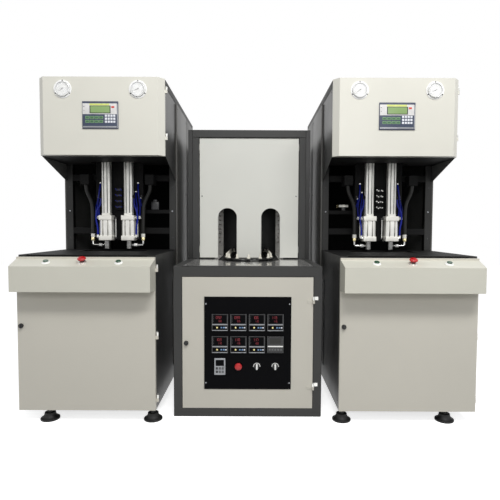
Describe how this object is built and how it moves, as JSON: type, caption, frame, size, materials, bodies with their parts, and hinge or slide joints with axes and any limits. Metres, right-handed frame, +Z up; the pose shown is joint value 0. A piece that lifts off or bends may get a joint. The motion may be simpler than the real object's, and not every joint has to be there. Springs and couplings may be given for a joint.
{
  "type": "blow moulding machine",
  "caption": "Semi-automatic stretch blow moulding machine: two blow stations with front doors and a preform heater with control panel between them.",
  "frame": {"origin": "floor level, under the middle of the machine's box", "axes": "+Z up, front faces -Y, +X to the right seen from the front"},
  "size_m": [2.3541, 1.5562, 1.83],
  "materials": {
    "frame_grey": "satin dark grey paint",
    "cover_paint": "pale warm grey powder coat",
    "side_panel": "glossy dark grey paint",
    "deck_paint": "glossy light grey paint",
    "oven_white": "white paint",
    "cylinder_alloy": "anodised",
    "plate_steel": "ground steel",
    "dark_steel": "blackened steel",
    "bright_steel": "polished",
    "hose_black": "matt",
    "hose_blue": "satin",
    "fitting": "plated",
    "lamp_glass": "clear quartz",
    "reflector": "polished",
    "mandrel_plastic": "moulded",
    "panel_black": "fine texture",
    "instrument": "moulded",
    "controller": "moulded",
    "gauge_white": "moulded",
    "knob_black": "moulded",
    "button_red": "moulded",
    "button_green": "moulded",
    "switch_white": "moulded",
    "foot": "painted"
  },
  "bodies": {
    "machine": {"air_fittings": "fitting", "blow_hoses": "hose_black", "clamp_cylinders": "dark_steel", "control_hoses": "hose_blue", "conveyor_bed": "dark_steel", "conveyor_chain": "dark_steel", "conveyor_motor": "frame_grey", "door_hinges": "bright_steel", "fixed_platens": "plate_steel", "heater_deck": "deck_paint", "heater_frame": "frame_grey", "heater_panels": "side_panel", "heating_lamps": "lamp_glass", "lamp_racks": "plate_steel", "left_frame": "frame_grey", "left_panels": "side_panel", "mandrels": "mandrel_plastic", "oven_front": "oven_white", "reflectors": "reflector", "right_frame": "frame_grey", "right_panels": "side_panel", "seal_cylinders": "cylinder_alloy", "station_feet": "foot", "stretch_cylinders": "cylinder_alloy", "tie_bars": "bright_steel"},
    "left_door": {"left_front_door": "cover_paint", "left_console": "cover_paint"},
    "left_head_door": {"left_head_cover": "cover_paint", "left_gauges": "gauge_white", "left_controller": "controller"},
    "left_door_lock_body": {"left_door_lock": "knob_black"},
    "left_stop_button_body": {"left_stop_button": "button_red"},
    "left_start_button_left_body": {"left_start_button_left": "button_green"},
    "left_start_button_right_body": {"left_start_button_right": "button_green"},
    "left_seal_nozzles_body": {"left_seal_nozzles": "bright_steel"},
    "left_stretch_rods_body": {"left_stretch_rods": "bright_steel"},
    "left_moving_platen_body": {"left_moving_platen": "plate_steel"},
    "right_door": {"right_front_door": "cover_paint", "right_console": "cover_paint"},
    "right_head_door": {"right_head_cover": "cover_paint", "right_gauges": "gauge_white", "right_controller": "controller"},
    "right_door_lock_body": {"right_door_lock": "knob_black"},
    "right_stop_button_body": {"right_stop_button": "button_red"},
    "right_start_button_left_body": {"right_start_button_left": "button_green"},
    "right_start_button_right_body": {"right_start_button_right": "button_green"},
    "right_seal_nozzles_body": {"right_seal_nozzles": "bright_steel"},
    "right_stretch_rods_body": {"right_stretch_rods": "bright_steel"},
    "right_moving_platen_body": {"right_moving_platen": "plate_steel"},
    "heater_door_body": {"heater_door": "cover_paint", "control_panel": "panel_black", "temperature_regulators": "instrument", "speed_regulator": "gauge_white"},
    "heater_lock_body": {"heater_lock": "knob_black"},
    "heater_stop_button_body": {"heater_stop_button": "button_red"},
    "power_switch_body": {"power_switch": "switch_white"},
    "lamp_switch_body": {"lamp_switch": "switch_white"},
    "drive_wheel_body": {"drive_wheel": "plate_steel"},
    "idler_wheel_body": {"idler_wheel": "plate_steel"}
  },
  "joints": [
    {"name": "left_door_hinge", "type": "hinge", "parent": "machine", "child": "left_door", "pos_m": [-0.46875, -0.6655, 0.455], "axis": [0, 0, 1], "range_deg": [0, 100]},
    {"name": "left_head_hinge", "type": "hinge", "parent": "machine", "child": "left_head_door", "pos_m": [-0.46875, -0.3875, 1.64], "axis": [0, 0, 1], "range_deg": [0, 100]},
    {"name": "left_lock_turn", "type": "hinge", "parent": "left_door", "child": "left_door_lock_body", "pos_m": [-1.15525, -0.6875, 0.5], "axis": [0, -1, 0], "range_deg": [0, 90]},
    {"name": "left_stop_button_press", "type": "slide", "parent": "left_door", "child": "left_stop_button_body", "axis": [0, 0.3426, -0.9395], "range_m": [0, 0.005], "stiffness_N_per_m": 800, "springref_m": -0.002},
    {"name": "left_start_button_left_press", "type": "slide", "parent": "left_door", "child": "left_start_button_left_body", "axis": [0, 0.3426, -0.9395], "range_m": [0, 0.004], "stiffness_N_per_m": 800, "springref_m": -0.002},
    {"name": "left_start_button_right_press", "type": "slide", "parent": "left_door", "child": "left_start_button_right_body", "axis": [0, 0.3426, -0.9395], "range_m": [0, 0.004], "stiffness_N_per_m": 800, "springref_m": -0.002},
    {"name": "left_nozzle_slide", "type": "slide", "parent": "machine", "child": "left_seal_nozzles_body", "axis": [0, 0, -1], "range_m": [0, 0.05]},
    {"name": "left_stretch_slide", "type": "slide", "parent": "machine", "child": "left_stretch_rods_body", "axis": [0, 0, -1], "range_m": [0, 0.3]},
    {"name": "left_clamp_slide", "type": "slide", "parent": "machine", "child": "left_moving_platen_body", "axis": [0, -1, 0], "range_m": [0, 0.13]},
    {"name": "right_door_hinge", "type": "hinge", "parent": "machine", "child": "right_door", "pos_m": [1.17125, -0.6655, 0.455], "axis": [0, 0, 1], "range_deg": [0, 100]},
    {"name": "right_head_hinge", "type": "hinge", "parent": "machine", "child": "right_head_door", "pos_m": [1.17125, -0.3875, 1.64], "axis": [0, 0, 1], "range_deg": [0, 100]},
    {"name": "right_lock_turn", "type": "hinge", "parent": "right_door", "child": "right_door_lock_body", "pos_m": [0.48475, -0.6875, 0.5], "axis": [0, -1, 0], "range_deg": [0, 90]},
    {"name": "right_stop_button_press", "type": "slide", "parent": "right_door", "child": "right_stop_button_body", "axis": [0, 0.3426, -0.9395], "range_m": [0, 0.005], "stiffness_N_per_m": 800, "springref_m": -0.002},
    {"name": "right_start_button_left_press", "type": "slide", "parent": "right_door", "child": "right_start_button_left_body", "axis": [0, 0.3426, -0.9395], "range_m": [0, 0.004], "stiffness_N_per_m": 800, "springref_m": -0.002},
    {"name": "right_start_button_right_press", "type": "slide", "parent": "right_door", "child": "right_start_button_right_body", "axis": [0, 0.3426, -0.9395], "range_m": [0, 0.004], "stiffness_N_per_m": 800, "springref_m": -0.002},
    {"name": "right_nozzle_slide", "type": "slide", "parent": "machine", "child": "right_seal_nozzles_body", "axis": [0, 0, -1], "range_m": [0, 0.05]},
    {"name": "right_stretch_slide", "type": "slide", "parent": "machine", "child": "right_stretch_rods_body", "axis": [0, 0, -1], "range_m": [0, 0.3]},
    {"name": "right_clamp_slide", "type": "slide", "parent": "machine", "child": "right_moving_platen_body", "axis": [0, -1, 0], "range_m": [0, 0.13]},
    {"name": "heater_door_hinge", "type": "hinge", "parent": "machine", "child": "heater_door_body", "pos_m": [0.33975, -0.62, 0.395], "axis": [0, 0, 1], "range_deg": [0, 100]},
    {"name": "heater_lock_turn", "type": "hinge", "parent": "heater_door_body", "child": "heater_lock_body", "pos_m": [-0.32825, -0.6125, 0.395], "axis": [0, -1, 0], "range_deg": [0, 90]},
    {"name": "heater_stop_press", "type": "slide", "parent": "heater_door_body", "child": "heater_stop_button_body", "axis": [0, 1, 0], "range_m": [0, 0.004], "stiffness_N_per_m": 800, "springref_m": -0.002},
    {"name": "power_switch_turn", "type": "hinge", "parent": "heater_door_body", "child": "power_switch_body", "pos_m": [0.04325, -0.6155, 0.272], "axis": [0, -1, 0], "range_deg": [-45, 45]},
    {"name": "lamp_switch_turn", "type": "hinge", "parent": "heater_door_body", "child": "lamp_switch_body", "pos_m": [0.14025, -0.6155, 0.272], "axis": [0, -1, 0], "range_deg": [-45, 45]},
    {"name": "drive_wheel_spin", "type": "hinge", "parent": "machine", "child": "drive_wheel_body", "pos_m": [-0.00525, 0.4745, 0.8], "axis": [0, 0, 1], "continuous": true},
    {"name": "idler_wheel_spin", "type": "hinge", "parent": "machine", "child": "idler_wheel_body", "pos_m": [-0.00525, -0.1095, 0.8], "axis": [0, 0, 1], "continuous": true}
  ],
  "couplings": [
    {"joint": "idler_wheel_spin", "follows": "drive_wheel_spin", "ratio": 1}
  ]
}
